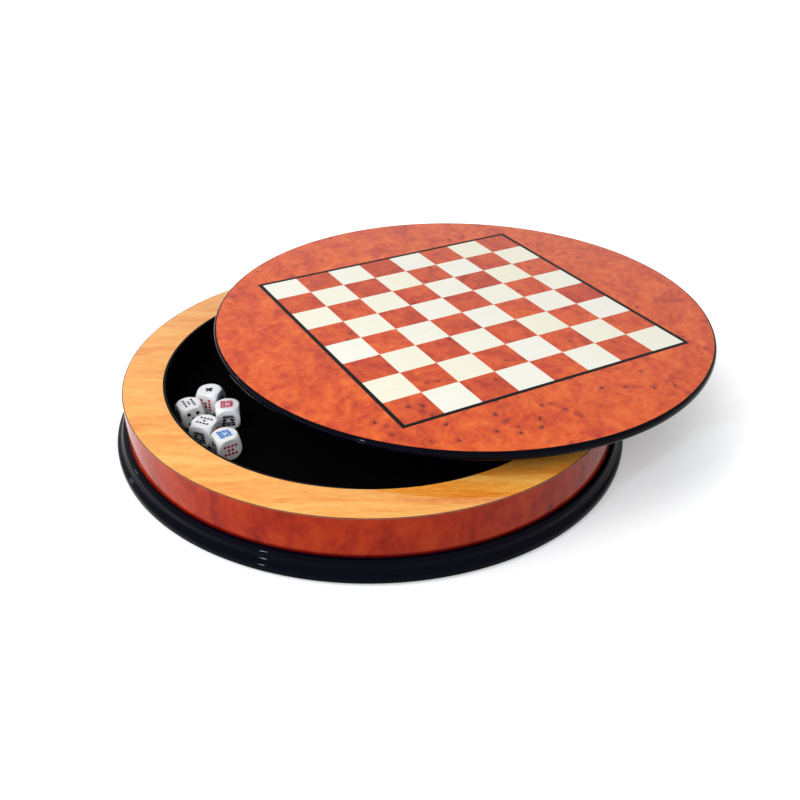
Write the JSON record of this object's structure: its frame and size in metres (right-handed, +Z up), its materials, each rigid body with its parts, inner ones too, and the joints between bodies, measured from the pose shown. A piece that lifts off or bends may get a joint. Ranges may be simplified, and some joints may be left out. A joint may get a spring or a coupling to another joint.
{
  "type": "round chessboard box",
  "caption": "Round inlaid chessboard on the lift-off lid of a ring-walled wooden tray box with poker dice inside.",
  "frame": {"origin": "middle of the base's underside, on the table", "axes": "+Z up through the base; the board lies square to X and Y with its first rank at -Y, and the lid lies off centre towards +X"},
  "size_m": [0.3942, 0.3309, 0.0538],
  "materials": {
    "burl_veneer": "red-orange burl veneer under gloss lacquer",
    "ivory_veneer": "bleached pale veneer under gloss lacquer",
    "ring_veneer": "light straight-grained veneer, satin lacquer",
    "black_veneer": "dyed black veneer",
    "black_lacquer": "gloss black lacquer on fibreboard",
    "board_core": "raw fibreboard",
    "black_felt": "matt black felt",
    "steel": "zinc-plated steel",
    "die_plastic": "polished white acrylic"
  },
  "bodies": {
    "base": {"base_felt": "black_felt", "plinth": "black_lacquer", "tray_wall_core": "board_core", "tray_wall_top_veneer": "ring_veneer", "tray_wall_side_veneer": "burl_veneer", "tray_wall_liner": "black_lacquer", "tray_floor_felt": "black_felt", "wall_screws": "steel"},
    "lid": {"lid_core": "board_core", "lid_edge_band": "black_lacquer", "lid_backing_veneer": "black_lacquer", "burl_surround": "burl_veneer", "stringing_front": "black_veneer", "stringing_back": "black_veneer", "stringing_left": "black_veneer", "stringing_right": "black_veneer", "rank_1_light_squares": "ivory_veneer", "rank_1_dark_squares": "burl_veneer", "rank_2_light_squares": "ivory_veneer", "rank_2_dark_squares": "burl_veneer", "rank_3_light_squares": "ivory_veneer", "rank_3_dark_squares": "burl_veneer", "rank_4_light_squares": "ivory_veneer", "rank_4_dark_squares": "burl_veneer", "rank_5_light_squares": "ivory_veneer", "rank_5_dark_squares": "burl_veneer", "rank_6_light_squares": "ivory_veneer", "rank_6_dark_squares": "burl_veneer", "rank_7_light_squares": "ivory_veneer", "rank_7_dark_squares": "burl_veneer", "rank_8_light_squares": "ivory_veneer", "rank_8_dark_squares": "burl_veneer", "lid_locating_rim": "black_lacquer", "lid_rim_screws": "steel"},
    "die_1": {"poker_die_1": "die_plastic"},
    "die_2": {"poker_die_2": "die_plastic"},
    "die_3": {"poker_die_3": "die_plastic"},
    "die_4": {"poker_die_4": "die_plastic"},
    "die_5": {"poker_die_5": "die_plastic"}
  },
  "joints": [
    {"name": "lid_lift", "type": "slide", "parent": "base", "child": "lid", "axis": [0, 0, 1], "range_m": [0, 0.06]},
    {"name": "die_1_lift", "type": "slide", "parent": "base", "child": "die_1", "axis": [0, 0, 1], "range_m": [0, 0.0195]},
    {"name": "die_2_lift", "type": "slide", "parent": "base", "child": "die_2", "axis": [0, 0, 1], "range_m": [0, 0.05]},
    {"name": "die_3_lift", "type": "slide", "parent": "base", "child": "die_3", "axis": [0, 0, 1], "range_m": [0, 0.0195]},
    {"name": "die_4_lift", "type": "slide", "parent": "base", "child": "die_4", "axis": [0, 0, 1], "range_m": [0, 0.05]},
    {"name": "die_5_lift", "type": "slide", "parent": "base", "child": "die_5", "axis": [0, 0, 1], "range_m": [0, 0.05]}
  ]
}
